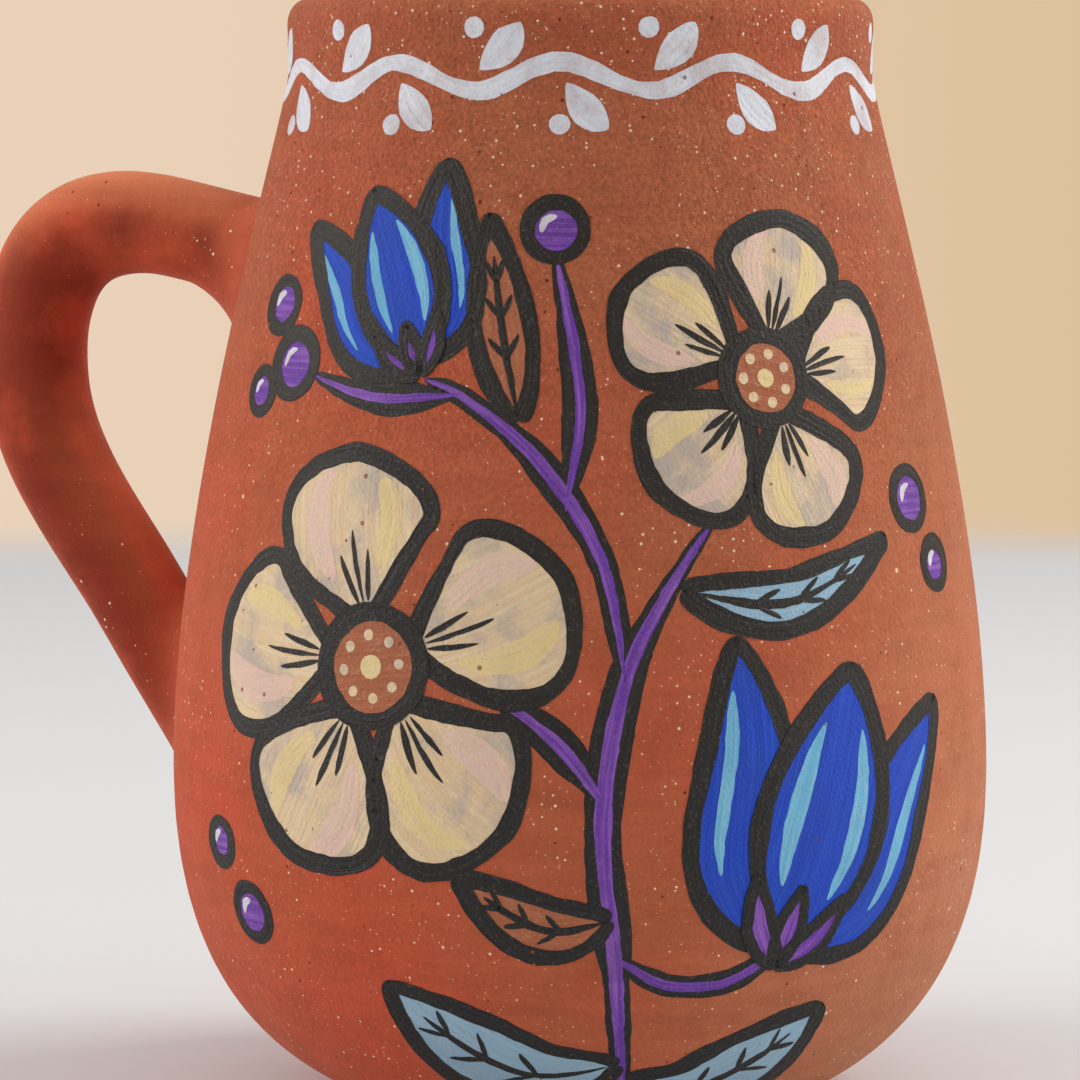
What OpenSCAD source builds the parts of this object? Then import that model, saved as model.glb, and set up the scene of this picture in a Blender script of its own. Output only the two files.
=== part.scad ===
// Belly mug of thrown red clay with a rolled ear handle.
// Millimetres. The origin is the middle of the foot on the table, +Z is up
// and the handle stands out along -X, in the plane y = 0.

/* [Mug] */
// Height from the table to the top of the lip
mug_height = 119.2; // [110:0.2:130]
// Widest diameter, at the belly
belly_diameter = 89.2; // [82:0.2:98]
// Height of the widest part above the table
belly_height = 35.9; // [31:0.1:41]
// Diameter of the foot where it leaves the table
foot_diameter = 44; // [38:0.5:52]
// Angle between the table and the wall where it leaves the foot
foot_angle = 17; // [12:1:24]
// Narrowest diameter, in the neck under the lip
neck_diameter = 63.4; // [58:0.2:70]
// Drop from the top of the lip to the narrowest part of the neck
neck_drop = 7.8; // [6:0.2:10]
// Diameter of the mouth where the lip starts to round
mouth_diameter = 63.6; // [58:0.2:70]

/* [Wall] */
// Thickness of the thrown wall
wall = 4.5; // [3.5:0.1:5.5]
// Thickness of the floor, measured from the table
floor_thickness = 6; // [4.5:0.5:8]
// Diameter of the flat middle of the floor
floor_diameter = 36; // [28:1:42]
// Height of the rounding of the lip
lip_height = 3; // [2:0.5:4]
// Width of the ring of clay that the mug stands on
foot_land = 5; // [3:0.5:7]
// Depth of the hollow under the floor
hollow_depth = 1; // [0.5:0.1:1.5]
// Thickness of the clear glaze that lines the inside
liner_thickness = 0.4; // [0.3:0.1:0.8]

/* [Handle] */
// Diameter of the clay roll at both roots
roll_diameter = 11.4; // [9:0.1:13]
// Diameter of the clay roll at the outer bend
bend_diameter = 11.9; // [9:0.1:13.5]
// Distance from the belly to the middle of the roll at the outer bend
handle_reach = 21.2; // [19:0.2:25]
// Drop from the top of the lip to the middle of the upper root
upper_root_drop = 27.5; // [24:0.5:32]
// Rise of the roll, in degrees, where it leaves the wall at the upper root
upper_root_angle = 13; // [5:1:20]
// Drop from the upper root to the outer bend
bend_drop = 12.2; // [9:0.2:15]
// Height of the middle of the lower root above the table
lower_root_height = 39.7; // [35:0.1:45]
// Slope of the roll, in degrees, where it comes down on the wall at the lower root
lower_root_angle = 57; // [48:1:62]

/* [Luting clay] */
// Run of the soft clay along the roll, on top of the upper root
upper_luting_above = 2.5; // [1.5:0.5:5]
// Run of the soft clay along the roll, under the upper root
upper_luting_below = 8.5; // [5:0.5:10]
// Run of the soft clay along the roll, in the fork over the lower root
lower_luting_above = 6; // [3:0.5:8]
// Run of the soft clay along the roll, under the lower root
lower_luting_below = 5; // [2:0.5:7]
// Straight roll left between the luting clay and the bend of the handle
root_margin = 1.5; // [1:0.5:4]

/* [Hidden] */

// Play between the outside of the wall and what is pressed onto it
seat_clearance = 0.03;

belly_radius = belly_diameter / 2;
foot_radius = foot_diameter / 2;
neck_radius = neck_diameter / 2;
mouth_radius = mouth_diameter / 2;
floor_radius = floor_diameter / 2;
hollow_radius = foot_radius - foot_land;
lip_start = mug_height - lip_height;
neck_height = mug_height - neck_drop;
shoulder_rise = neck_height - belly_height;

// How far each curve of the wall pulls at its ends, as shares of the height it climbs
foot_pull_share = 0.31;
floor_pull_share = 0.45;
under_belly_pull_share = 0.674;
over_belly_pull_share = 0.40;
under_neck_pull_share = 0.05;
mouth_pull_share = 0.4;

// Steps of the curves of the wall, and faces round the mug
belly_steps = 14;
shoulder_steps = 22;
mouth_steps = 4;
lip_steps = 12;
around = 160;

// How far the roll's curves pull, as shares of the reach or the drop they cover
upper_reach_pull_share = 0.88;
crown_pull_share = 0.82;
outer_pull_share = 0.41;
lower_pull_share = 0.41;

// How far the luting clay spreads along the wall and how full its hollow is,
// as shares of its run along the roll
upper_spread_share = 0.8;
lower_spread_share = 0.5;
hollow_fill_share = 0.25;

// Sides of the roll, steps of its curves, of the luting clay and of the seat search
roll_sides = 36;
crown_steps = 18;
back_steps = 18;
cap_steps = 3;
spread_steps = 3;
hollow_steps = 6;
search_steps = 28;

// Points along a cubic curve from a to d, pulled towards b and c
function bezier(a, b, c, d, steps) = [
    for (i = [0 : steps])
        let (t = i / steps, u = 1 - t)
            u * u * u * a + 3 * u * u * t * b + 3 * u * t * t * c + t * t * t * d
];

function after_first(points) = [for (i = [1 : len(points) - 1]) points[i]];

function reversed(points) = [for (i = [len(points) - 1 : -1 : 0]) points[i]];

function flattened(rows) = [for (row = rows) for (point = row) point];

function unit(v) = v / norm(v);

// One face of the wall from its low end to the start of the lip, set in from the outside
function wall_face(inset, low, low_pull) =
    let (
        belly = [belly_radius - inset, belly_height],
        neck = [neck_radius - inset, neck_height],
        mouth = [mouth_radius - inset, lip_start],
        under_belly = [0, under_belly_pull_share * (belly_height - low[1])],
        over_belly = [0, over_belly_pull_share * shoulder_rise],
        under_neck = [0, under_neck_pull_share * shoulder_rise],
        at_mouth = [0, mouth_pull_share * (lip_start - neck_height)]
    )
    concat(
        bezier(low, low + low_pull, belly - under_belly, belly, belly_steps),
        after_first(bezier(belly, belly + over_belly, neck - under_neck, neck, shoulder_steps)),
        after_first(bezier(neck, neck + at_mouth, mouth - at_mouth, mouth, mouth_steps))
    );

foot_pull = foot_pull_share * belly_height * [cos(foot_angle), sin(foot_angle)];
floor_pull = [floor_pull_share * (belly_height - floor_thickness), 0];
outer_face = wall_face(0, [foot_radius, 0], foot_pull);
inner_face = wall_face(wall, [floor_radius, floor_thickness], floor_pull);
glaze_face = wall_face(wall + liner_thickness, [floor_radius, floor_thickness + liner_thickness], floor_pull);

lip_curve = [
    for (i = [1 : lip_steps - 1])
        let (turn = 180 * i / lip_steps)
            [mouth_radius - wall / 2 + wall / 2 * cos(turn), lip_start + lip_height * sin(turn)]
];

under_face = [
    [0, hollow_depth],
    [hollow_radius - hollow_depth, hollow_depth],
    [hollow_radius, 0]
];

// Outside radius of the mug at a height, read off the same curve that the wall is turned from
radius_by_height = [for (point = outer_face) [point[1], point[0]]];

function wall_radius(height) = lookup(height, radius_by_height);

function is_outside(p) = norm([p[0], p[1]]) > wall_radius(p[2]) + seat_clearance;

// Middle line of the roll in its own plane, as distance from the axis and height
upper_root = [wall_radius(mug_height - upper_root_drop), mug_height - upper_root_drop];
lower_root = [wall_radius(lower_root_height), lower_root_height];
upper_way = [cos(upper_root_angle), sin(upper_root_angle)];
lower_way = [cos(lower_root_angle), sin(lower_root_angle)];
roll_radius = roll_diameter / 2;
upper_run = roll_radius * tan(upper_root_angle) + upper_luting_below + root_margin;
lower_run = roll_radius * tan(lower_root_angle) + lower_luting_above + root_margin;
upper_start = upper_root + upper_run * upper_way;
lower_start = lower_root + lower_run * lower_way;
outer_bend = [belly_radius + handle_reach, upper_root[1] - bend_drop];

// Point where a line from p along way first meets the wall, found by halving
function seat(p, way, near, far, steps) =
    let (middle = (near + far) / 2)
    steps == 0 ? p + middle * way
        : is_outside(p + middle * way) ? seat(p, way, middle, far, steps - 1)
        : seat(p, way, near, middle, steps - 1);

// From the roll's plane to the mug: distance from the axis runs along -X
function in_mug(flat, side) = [-flat[0], side, flat[1]];

// The search ends where the line passes nearest to the middle of the belly, deep inside
belly_middle = [0, 0, belly_height];

function seated(p, way) = seat(p, way, -roll_diameter, (belly_middle - p) * way, search_steps);

// Ring of points round the roll: the first lies on the outside of the ear
function ring(middle, way, radius) = [
    for (k = [0 : roll_sides - 1])
        let (turn = 360 * k / roll_sides)
            in_mug(middle + radius * cos(turn) * [-way[1], way[0]], radius * sin(turn))
];

// Middle line of the bent part of the roll, its directions and its radii
roll_line = concat(
    bezier(
        upper_start,
        upper_start + upper_reach_pull_share * (outer_bend[0] - upper_start[0]) * upper_way,
        outer_bend + [0, crown_pull_share * bend_drop],
        outer_bend,
        crown_steps
    ),
    after_first(bezier(
        outer_bend,
        outer_bend - [0, outer_pull_share * (outer_bend[1] - lower_start[1])],
        lower_start + lower_pull_share * (outer_bend[1] - lower_start[1]) * lower_way,
        lower_start,
        back_steps
    ))
);
last_point = len(roll_line) - 1;
roll_ways = [
    for (i = [0 : last_point])
        i == 0 ? upper_way
            : i == last_point ? -lower_way
            : unit(roll_line[i + 1] - roll_line[i - 1])
];
roll_radii = [
    for (i = [0 : last_point])
        let (swell = sin(180 * i / last_point))
            roll_radius + (bend_diameter - roll_diameter) / 2 * swell
];
roll_rings = [for (i = [0 : last_point]) ring(roll_line[i], roll_ways[i], roll_radii[i])];

// A root is where the straight end of the roll meets the wall. Its values are the middle
// of the last ring, the way to the wall and the way round the ear there.
upper_root_end = [upper_start, -upper_way, upper_way];
lower_root_end = [lower_start, -lower_way, -lower_way];

function into_wall(root) = in_mug(root[1], 0);

// The roll's outline of a given radius, laid on the wall
function footprint(root, radius) = [
    for (p = ring(root[0], root[2], radius)) seated(p, into_wall(root))
];

upper_footprint = footprint(upper_root_end, roll_radius);
lower_footprint = footprint(lower_root_end, roll_radius);

// Run of the luting clay at each side of the roll, from the outside to the inside of the ear
function luting_runs(outside, inside) = [
    for (k = [0 : roll_sides - 1])
        outside + (inside - outside) * (1 - cos(360 * k / roll_sides)) / 2
];

upper_runs = luting_runs(upper_luting_above, upper_luting_below);
lower_runs = luting_runs(lower_luting_below, lower_luting_above);

// Edge of the luting clay on the roll: the footprint moved back along the roll
function luting_edge(root, print, runs) = [
    for (k = [0 : roll_sides - 1])
        print[k] - runs[k] * into_wall(root)
];

upper_edge = luting_edge(upper_root_end, upper_footprint, upper_runs);
lower_edge = luting_edge(lower_root_end, lower_footprint, lower_runs);

// Rings that close the end of the roll against the wall, from the middle outwards
function cap_rings(root) = [
    for (i = [1 : cap_steps - 1]) footprint(root, roll_radius * i / cap_steps)
];

function cap_middle(root) = seated(in_mug(root[0], 0), into_wall(root));

// Triangles between the points of two rows of equal length that close on themselves
function band(first, second, count) = [
    for (k = [0 : count - 1])
        let (next = (k + 1) % count)
            each [
                [first + k, second + k, second + next],
                [first + k, second + next, first + next]
            ]
];

module rolled_solid(start, rings, end) {
    count = len(rings[0]);
    end_index = 1 + len(rings) * count;
    last_row = end_index - count;
    polyhedron(
        points = concat([start], flattened(rings), [end]),
        faces = concat(
            [for (k = [0 : count - 1]) [0, 1 + k, 1 + (k + 1) % count]],
            flattened([
                for (i = [0 : len(rings) - 2]) band(1 + i * count, 1 + (i + 1) * count, count)
            ]),
            [for (k = [0 : count - 1]) [end_index, last_row + (k + 1) % count, last_row + k]]
        )
    );
}

// Closed collar of clay round a root: each row lies against the roll, the wall or the air
module luting_collar(root, print, edge, runs, spread_share) {
    middle = in_mug(root[0], 0);
    starts = ring(root[0], root[2], roll_radius);
    reach = [
        for (k = [0 : roll_sides - 1]) spread_share * runs[k] * unit(starts[k] - middle)
    ];
    on_wall = [
        for (i = [1 : spread_steps])
            [for (k = [0 : roll_sides - 1])
                seated(starts[k] + reach[k] * i / spread_steps, into_wall(root))]
    ];
    rim = on_wall[spread_steps - 1];
    pull = [
        for (k = [0 : roll_sides - 1])
            print[k] + hollow_fill_share * (edge[k] + rim[k] - 2 * print[k])
    ];
    in_air = [
        for (i = [1 : hollow_steps - 1])
            let (t = i / hollow_steps, u = 1 - t)
                [for (k = [0 : roll_sides - 1])
                    u * u * rim[k] + 2 * u * t * pull[k] + t * t * edge[k]]
    ];
    outward = concat([print], on_wall, in_air, [edge]);
    rows = root[1] == root[2] ? reversed(outward) : outward;
    polyhedron(
        points = flattened(rows),
        faces = flattened([
            for (i = [0 : len(rows) - 1])
                band(i * roll_sides, (i + 1) % len(rows) * roll_sides, roll_sides)
        ])
    );
}

module body() {
    color("#b8623f")
        rotate_extrude($fn = around)
            polygon(concat(
                under_face,
                outer_face,
                lip_curve,
                reversed(inner_face),
                [[0, floor_thickness]]
            ));
}

module liner_glaze() {
    color("#d08f66")
        rotate_extrude($fn = around)
            polygon(concat(
                [[0, floor_thickness]],
                inner_face,
                reversed(glaze_face),
                [[0, floor_thickness + liner_thickness]]
            ));
}

module handle() {
    color("#ad5a3a")
        rolled_solid(
            cap_middle(upper_root_end),
            concat(
                cap_rings(upper_root_end),
                [upper_footprint, upper_edge],
                roll_rings,
                [lower_edge, lower_footprint],
                reversed(cap_rings(lower_root_end))
            ),
            cap_middle(lower_root_end)
        );
}

module upper_luting_clay() {
    color("#9f5033")
        luting_collar(upper_root_end, upper_footprint, upper_edge, upper_runs, upper_spread_share);
}

module lower_luting_clay() {
    color("#9f5033")
        luting_collar(lower_root_end, lower_footprint, lower_edge, lower_runs, lower_spread_share);
}

body();
handle();
upper_luting_clay();
lower_luting_clay();
liner_glaze();
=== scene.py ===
import math
import random
from bisect import bisect_left

import bmesh
import bpy
from mathutils import Matrix, Vector, noise
from mathutils.bvhtree import BVHTree
from mathutils.geometry import interpolate_bezier


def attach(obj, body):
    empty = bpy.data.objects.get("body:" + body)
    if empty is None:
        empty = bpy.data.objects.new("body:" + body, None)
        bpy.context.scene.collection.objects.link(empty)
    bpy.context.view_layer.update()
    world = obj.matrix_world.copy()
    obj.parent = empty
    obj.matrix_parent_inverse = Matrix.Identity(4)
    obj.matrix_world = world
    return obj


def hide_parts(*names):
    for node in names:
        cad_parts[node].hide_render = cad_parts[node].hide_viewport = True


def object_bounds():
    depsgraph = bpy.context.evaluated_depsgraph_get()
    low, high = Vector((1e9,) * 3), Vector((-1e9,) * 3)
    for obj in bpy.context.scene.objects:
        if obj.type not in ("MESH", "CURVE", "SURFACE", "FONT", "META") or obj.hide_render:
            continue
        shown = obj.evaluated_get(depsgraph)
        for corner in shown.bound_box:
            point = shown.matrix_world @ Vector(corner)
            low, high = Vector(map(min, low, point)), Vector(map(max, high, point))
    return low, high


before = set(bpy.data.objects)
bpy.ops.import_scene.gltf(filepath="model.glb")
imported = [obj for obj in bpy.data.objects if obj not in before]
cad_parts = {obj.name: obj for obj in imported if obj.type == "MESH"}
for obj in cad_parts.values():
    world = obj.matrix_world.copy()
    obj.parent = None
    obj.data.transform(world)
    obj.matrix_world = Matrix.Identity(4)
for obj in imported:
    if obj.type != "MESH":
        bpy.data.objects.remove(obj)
cadLow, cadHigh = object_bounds()
mm = 0.001
tiny = 0.001 * mm
upward = Vector((0, 0, 1))
print("frame loaded:", ", ".join(sorted(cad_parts)))

# The view. The mug's front is the side that faces the camera.
view = {
    "pixels": 1080,               # width and height of the picture
    "focalPixels": 4600,
    "distance": 500 * mm,         # from the mug's middle line
    "eyeHeight": 103.04 * mm,
    "turn": 20,                   # degrees that the front is turned from -Y towards +X
    "mugColumn": 580,             # where the mug's middle line stands in the picture
    "horizonRow": 150,
}


def outwards(angle):
    # level direction, so many degrees to the right of the mug's front
    turned = math.radians(view["turn"] + angle)
    return Vector((math.sin(turned), -math.cos(turned), 0))


def addCamera():
    half = view["pixels"] / 2
    yaw = math.atan((view["mugColumn"] - half) / view["focalPixels"])
    pitch = math.atan((half - view["horizonRow"]) / view["focalPixels"])
    lens = bpy.data.cameras.new("camera")
    lens.lens = view["focalPixels"] * lens.sensor_width / view["pixels"]
    camera = bpy.data.objects.new("camera", lens)
    camera.location = outwards(0) * view["distance"] + upward * view["eyeHeight"]
    camera.rotation_euler = (math.pi / 2 - pitch, 0, math.radians(view["turn"]) + yaw)
    bpy.context.scene.collection.objects.link(camera)
    bpy.context.scene.camera = camera


addCamera()
bpy.context.scene.view_settings.view_transform = "Standard"
print("camera placed")


# Small helpers for meshes and materials.
def hexColour(text):
    # sRGB hex to the linear colour that nodes take
    channels = [int(text[i:i + 2], 16) / 255 for i in (1, 3, 5)]
    return [c / 12.92 if c <= 0.04045 else ((c + 0.055) / 1.055) ** 2.4 for c in channels] + [1]


def addNode(tree, kind, settings=None, inputs=None):
    # an input that is a socket is linked, and anything else is set
    node = tree.nodes.new("ShaderNode" + kind)
    for name, value in (settings or {}).items():
        setattr(node, name, value)
    for name, value in (inputs or {}).items():
        if isinstance(value, bpy.types.NodeSocket):
            tree.links.new(value, node.inputs[name])
        else:
            node.inputs[name].default_value = value
    return node.outputs[0] if node.outputs else node


def newMaterial(name):
    material = bpy.data.materials.new(name)
    material.use_nodes = True
    return material, material.node_tree, material.node_tree.nodes["Principled BSDF"]


def mergedCopy(nodeName):
    # a CAD mesh is loose triangles, so its copy is merged into a closed shell
    bm = bmesh.new()
    bm.from_mesh(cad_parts[nodeName].data)
    bmesh.ops.remove_doubles(bm, verts=bm.verts, dist=tiny)
    return bm


def addObject(name, bm, material=None, sharpAngle=40):
    for edge in bm.edges:
        edge.smooth = edge.calc_face_angle(0) < math.radians(sharpAngle)
    mesh = bpy.data.meshes.new(name)
    bm.to_mesh(mesh)
    bm.free()
    mesh.shade_smooth()
    piece = bpy.data.objects.new(name, mesh)
    bpy.context.scene.collection.objects.link(piece)
    if material:
        mesh.materials.append(material)
    return piece


def finishPiece(piece, nodes=()):
    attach(piece, "root")
    if nodes:
        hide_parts(*nodes)


def appliedModifiers(piece):
    # the mesh as its modifiers leave it, so that later steps can work on it
    seen = piece.evaluated_get(bpy.context.evaluated_depsgraph_get())
    bm = bmesh.new()
    bm.from_mesh(seen.to_mesh())
    bpy.data.objects.remove(piece)
    return bm


def eased(value, low, high):
    share = min(max((value - low) / (high - low), 0), 1)
    return share * share * (3 - 2 * share)


# The stage: a pale table that fades at its edge, and a beige wall far behind.
stage = {
    "tableColour": "#e8e8e8",
    "tableRadius": 900 * mm,
    "edgeStart": 640 * mm,        # the table's far edge is out of focus, so it fades
    "edgeEnd": 800 * mm,
    "wallLeft": "#ead2ba",
    "wallRight": "#dcc09c",
    "roomColour": "#f1efee",
    "roomStrength": 0.55,
}


def addStage():
    bm = bmesh.new()
    bmesh.ops.create_circle(bm, cap_ends=True, radius=stage["tableRadius"], segments=128)
    material, tree, shader = newMaterial("pale painted table")
    # Painted board, rolled on: even and matt, so it only takes the mug's soft shadow
    shader.inputs["Base Color"].default_value = hexColour(stage["tableColour"])
    shader.inputs["Roughness"].default_value = 0.8
    shader.inputs["Specular IOR Level"].default_value = 0.1
    place = addNode(tree, "TexCoord").node.outputs["Object"]
    away = addNode(tree, "VectorMath", {"operation": "LENGTH"}, {0: place}).node.outputs["Value"]
    fade = addNode(tree, "MapRange", {"interpolation_type": "SMOOTHSTEP"},
                   {"Value": away, "From Min": stage["edgeStart"], "From Max": stage["edgeEnd"]})
    clear = addNode(tree, "BsdfTransparent")
    mixed = addNode(tree, "MixShader", {}, {0: fade, 1: shader.outputs[0], 2: clear})
    tree.links.new(mixed, tree.nodes["Material Output"].inputs["Surface"])
    addObject("table", bm, material)


def lightRoom():
    world = bpy.data.worlds.new("room")
    bpy.context.scene.world = world
    world.use_nodes = True
    tree = world.node_tree
    tree.nodes.clear()
    way = addNode(tree, "TexCoord")
    right = outwards(90)
    across = addNode(tree, "VectorMath", {"operation": "DOT_PRODUCT"}, {0: way, 1: right})
    side = addNode(tree, "MapRange", {}, {"Value": across.node.outputs["Value"], "From Min": -0.1,
                                          "From Max": 0.12})
    wall = addNode(tree, "MixRGB", {}, {"Fac": side, "Color1": hexColour(stage["wallLeft"]),
                                        "Color2": hexColour(stage["wallRight"])})
    path = addNode(tree, "LightPath").node.outputs
    shiny = addNode(tree, "Math", {"operation": "MAXIMUM"}, {0: path["Is Glossy Ray"],
                                                             1: path["Is Transmission Ray"]})
    seen = addNode(tree, "Math", {"operation": "MAXIMUM"}, {0: path["Is Camera Ray"], 1: shiny})
    shown = addNode(tree, "Background", {}, {"Color": wall, "Strength": 1})
    glow = addNode(tree, "Background", {}, {"Color": hexColour(stage["roomColour"]),
                                            "Strength": stage["roomStrength"]})
    mixed = addNode(tree, "MixShader", {}, {0: seen, 1: glow, 2: shown})
    addNode(tree, "OutputWorld", {}, {"Surface": mixed})


# A window high on the right, a lower one beside it and one on the left. Angles are from the mug's front.
lamps = {
    "highWindow": {"angle": 104, "distance": 700 * mm, "height": 720 * mm, "size": 450 * mm, "watts": 4},
    "rightWindow": {"angle": 76, "distance": 900 * mm, "height": 320 * mm, "size": 700 * mm, "watts": 2.2},
    "leftWindow": {"angle": -84, "distance": 900 * mm, "height": 450 * mm, "size": 600 * mm, "watts": 4.5},
}


def addLamp(name, look):
    light = bpy.data.lights.new(name, "AREA")
    light.size = look["size"]
    light.energy = look["watts"]
    lamp = bpy.data.objects.new(name, light)
    lamp.location = outwards(look["angle"]) * look["distance"] + upward * look["height"]
    aim = upward * (cadHigh.z / 2) - lamp.location
    lamp.rotation_euler = aim.to_track_quat("-Z", "Y").to_euler()
    bpy.context.scene.collection.objects.link(lamp)


addStage()
lightRoom()
for lampName, lampLook in lamps.items():
    addLamp(lampName, lampLook)
print("stage and lamps ready")


# Specks in clay and paint: balls of about a radius, of which a cell holds one or none.
speckSizes = {
    "pit": {"cell": 1.9 * mm, "radius": 0.2 * mm},
    "sandAndHighlights": {"cell": 0.7 * mm, "radius": 0.13 * mm},
    "mica": {"cell": 1 * mm, "radius": 0.18 * mm},
    "grog": {"cell": 5 * mm, "radius": 0.3 * mm},
    "pinhole": {"cell": 1.7 * mm, "radius": 0.26 * mm},
    "scratch": {"cell": 2.6 * mm, "radius": 0.16 * mm},
}


def specks(tree, place, kind, share, cluster):
    # the more the cluster noise and the share allow, the more of the cells hold one
    cell = speckSizes[kind]["cell"]
    radius = speckSizes[kind]["radius"] / cell
    edge = 0.05 * mm / cell
    dots = addNode(tree, "TexVoronoi", {}, {"Vector": place, "Scale": 1 / cell}).node.outputs
    pick = addNode(tree, "SeparateColor", {}, {"Color": dots["Color"]})
    picked = addNode(tree, "Math", {"operation": "ADD"}, {0: pick, 1: cluster})
    room = addNode(tree, "MapRange", {}, {"Value": picked, "From Min": 1.5 - share, "From Max": 1.5,
                                          "To Min": radius * 0.4, "To Max": radius})
    there = addNode(tree, "Math", {"operation": "GREATER_THAN"}, {0: picked, 1: 1.5 - share})
    inside = addNode(tree, "Math", {"operation": "SUBTRACT"}, {0: room, 1: dots["Distance"]})
    seen = addNode(tree, "MapRange", {}, {"Value": inside, "From Min": 0, "From Max": edge})
    return addNode(tree, "Math", {"operation": "MULTIPLY"}, {0: seen, 1: there})


# Fired redware, left bare: iron-red clay with sand and mica in it, which reads as a matt, granular
# skin that goes pale at its limbs, with slow shifts of red and tan, fine pits and bright flecks.
def clayToneAndPaintedLight(tree, place, look):
    # slow random shifts of red and tan are the clay's own; on top, painted light makes the upper right,
    # where the lamps fall, tan and its right side pale, and the lower left red
    drift = addNode(tree, "TexNoise", {}, {"Vector": place, "Scale": 1 / (30 * mm), "Detail": 3})
    # painted light: tan towards the upper right, where the lamps fall, red towards the lower left
    litFacing = addNode(tree, "VectorMath", {"operation": "DOT_PRODUCT"}, {0: place, 1: look["paintedLightSide"]})
    paintedLightShift = addNode(tree, "MapRange", {}, {"Value": litFacing.node.outputs["Value"], "From Min": -25 * mm,
                                             "From Max": 60 * mm, "To Min": -0.25, "To Max": 0.18})
    driftAndLight = addNode(tree, "Math", {"operation": "ADD"}, {0: drift, 1: paintedLightShift})
    redToTan = addNode(tree, "MapRange", {}, {"Value": driftAndLight, "From Min": 0.27, "From Max": 0.73})
    colour = addNode(tree, "MixRGB", {}, {"Fac": redToTan, "Color1": hexColour(look["red"]),
                                          "Color2": hexColour(look["tan"])})
    # painted highlight: the side towards the right lamps is painted pale
    towardsRightLamp = addNode(tree, "VectorMath", {"operation": "DOT_PRODUCT"}, {0: place, 1: look["rightLampSide"]})
    paleLitMask = addNode(tree, "MapRange", {}, {"Value": towardsRightLamp.node.outputs["Value"], "From Min": 8 * mm,
                                            "From Max": 33 * mm, "To Max": look["paintedPaleAmount"]})
    return addNode(tree, "MixRGB", {}, {"Fac": paleLitMask, "Color1": colour, "Color2": hexColour(look["pale"])})


def shadeLightAndSlip(tree, colour, blotch, height, look):
    # painted shade: the handle's sides are painted dark below its bend, and whatever faces up is painted
    # lighter as painted top light
    normal = addNode(tree, "TexCoord").node.outputs["Normal"]
    facing = addNode(tree, "SeparateXYZ", {}, {"Vector": normal}).node.outputs
    sideways = addNode(tree, "Math", {"operation": "ABSOLUTE"}, {0: facing["Y"]})
    sides = addNode(tree, "MapRange", {"interpolation_type": "SMOOTHSTEP"},
                    {"Value": sideways, "From Min": 0.45, "From Max": 1})
    shadedBelowBend = addNode(tree, "MapRange", {}, {"Value": height, "From Min": 95 * mm, "From Max": 85 * mm,
                                          "To Max": look["paintedSideShade"]})
    # the painted side shade is added to the clay's own random dark blotches
    darker = addNode(tree, "Math", {"operation": "MULTIPLY_ADD"}, {0: sides, 1: shadedBelowBend, 2: blotch})
    blotchesAndShade = addNode(tree, "MapRange", {}, {"Value": darker, "From Min": 0.45, "From Max": 0.72,
                                              "To Max": look["blotches"]})
    colour = addNode(tree, "MixRGB", {}, {"Fac": blotchesAndShade, "Color1": colour,
                                          "Color2": hexColour(look["dark"])})
    # painted top light: faces that point up are painted lighter, the more the flatter they lie
    paintedTopLight = addNode(tree, "MapRange", {"interpolation_type": "SMOOTHSTEP"},
                   {"Value": facing["Z"], "From Min": look["topLightStart"], "From Max": 1,
                    "To Max": look["topLightShare"]})
    colour = addNode(tree, "MixRGB", {}, {"Fac": paintedTopLight, "Color1": colour, "Color2": hexColour(look["paintedTopLight"])})
    # Slip smeared over the handle's roots
    smeared = addNode(tree, "Attribute", {"attribute_name": "smear"}).node.outputs["Fac"]
    return addNode(tree, "MixRGB", {}, {"Fac": smeared, "Color1": colour, "Color2": hexColour(look["slip"])})


def speckled(tree, place, height, colour, look):
    # pits and grains of sand, mica and grog, of which more show at the neck
    sandy = addNode(tree, "MapRange", {}, {"Value": height, "From Min": 82 * mm, "From Max": 108 * mm,
                                           "To Max": look["neckSand"]})
    cluster = addNode(tree, "TexNoise", {}, {"Vector": place, "Scale": 1 / (13 * mm), "Detail": 1})
    cluster = addNode(tree, "Math", {"operation": "ADD"}, {0: cluster, 1: sandy})
    # the pits are painted darker: painted shade in their hollows
    pitted = specks(tree, place, "pit", look["pits"], cluster)
    colour = addNode(tree, "MixRGB", {}, {"Fac": pitted, "Color1": colour, "Color2": hexColour(look["pit"])})
    # light sand grains, also painted brighter as painted highlights on the grains' tops
    sandAndHighlights = specks(tree, place, "sandAndHighlights", look["sandAndHighlights"], cluster)
    dimmed = addNode(tree, "Math", {"operation": "MULTIPLY"}, {0: sandAndHighlights, 1: 0.45})
    mica = specks(tree, place, "mica", look["mica"], cluster)
    grog = specks(tree, place, "grog", look["grog"], cluster)
    bright = addNode(tree, "Math", {"operation": "MAXIMUM"}, {0: mica, 1: grog})
    flecked = addNode(tree, "Math", {"operation": "MAXIMUM"}, {0: dimmed, 1: bright})
    colour = addNode(tree, "MixRGB", {}, {"Fac": flecked, "Color1": colour,
                                          "Color2": hexColour(look["fleck"])})
    return colour, pitted, flecked


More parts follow.
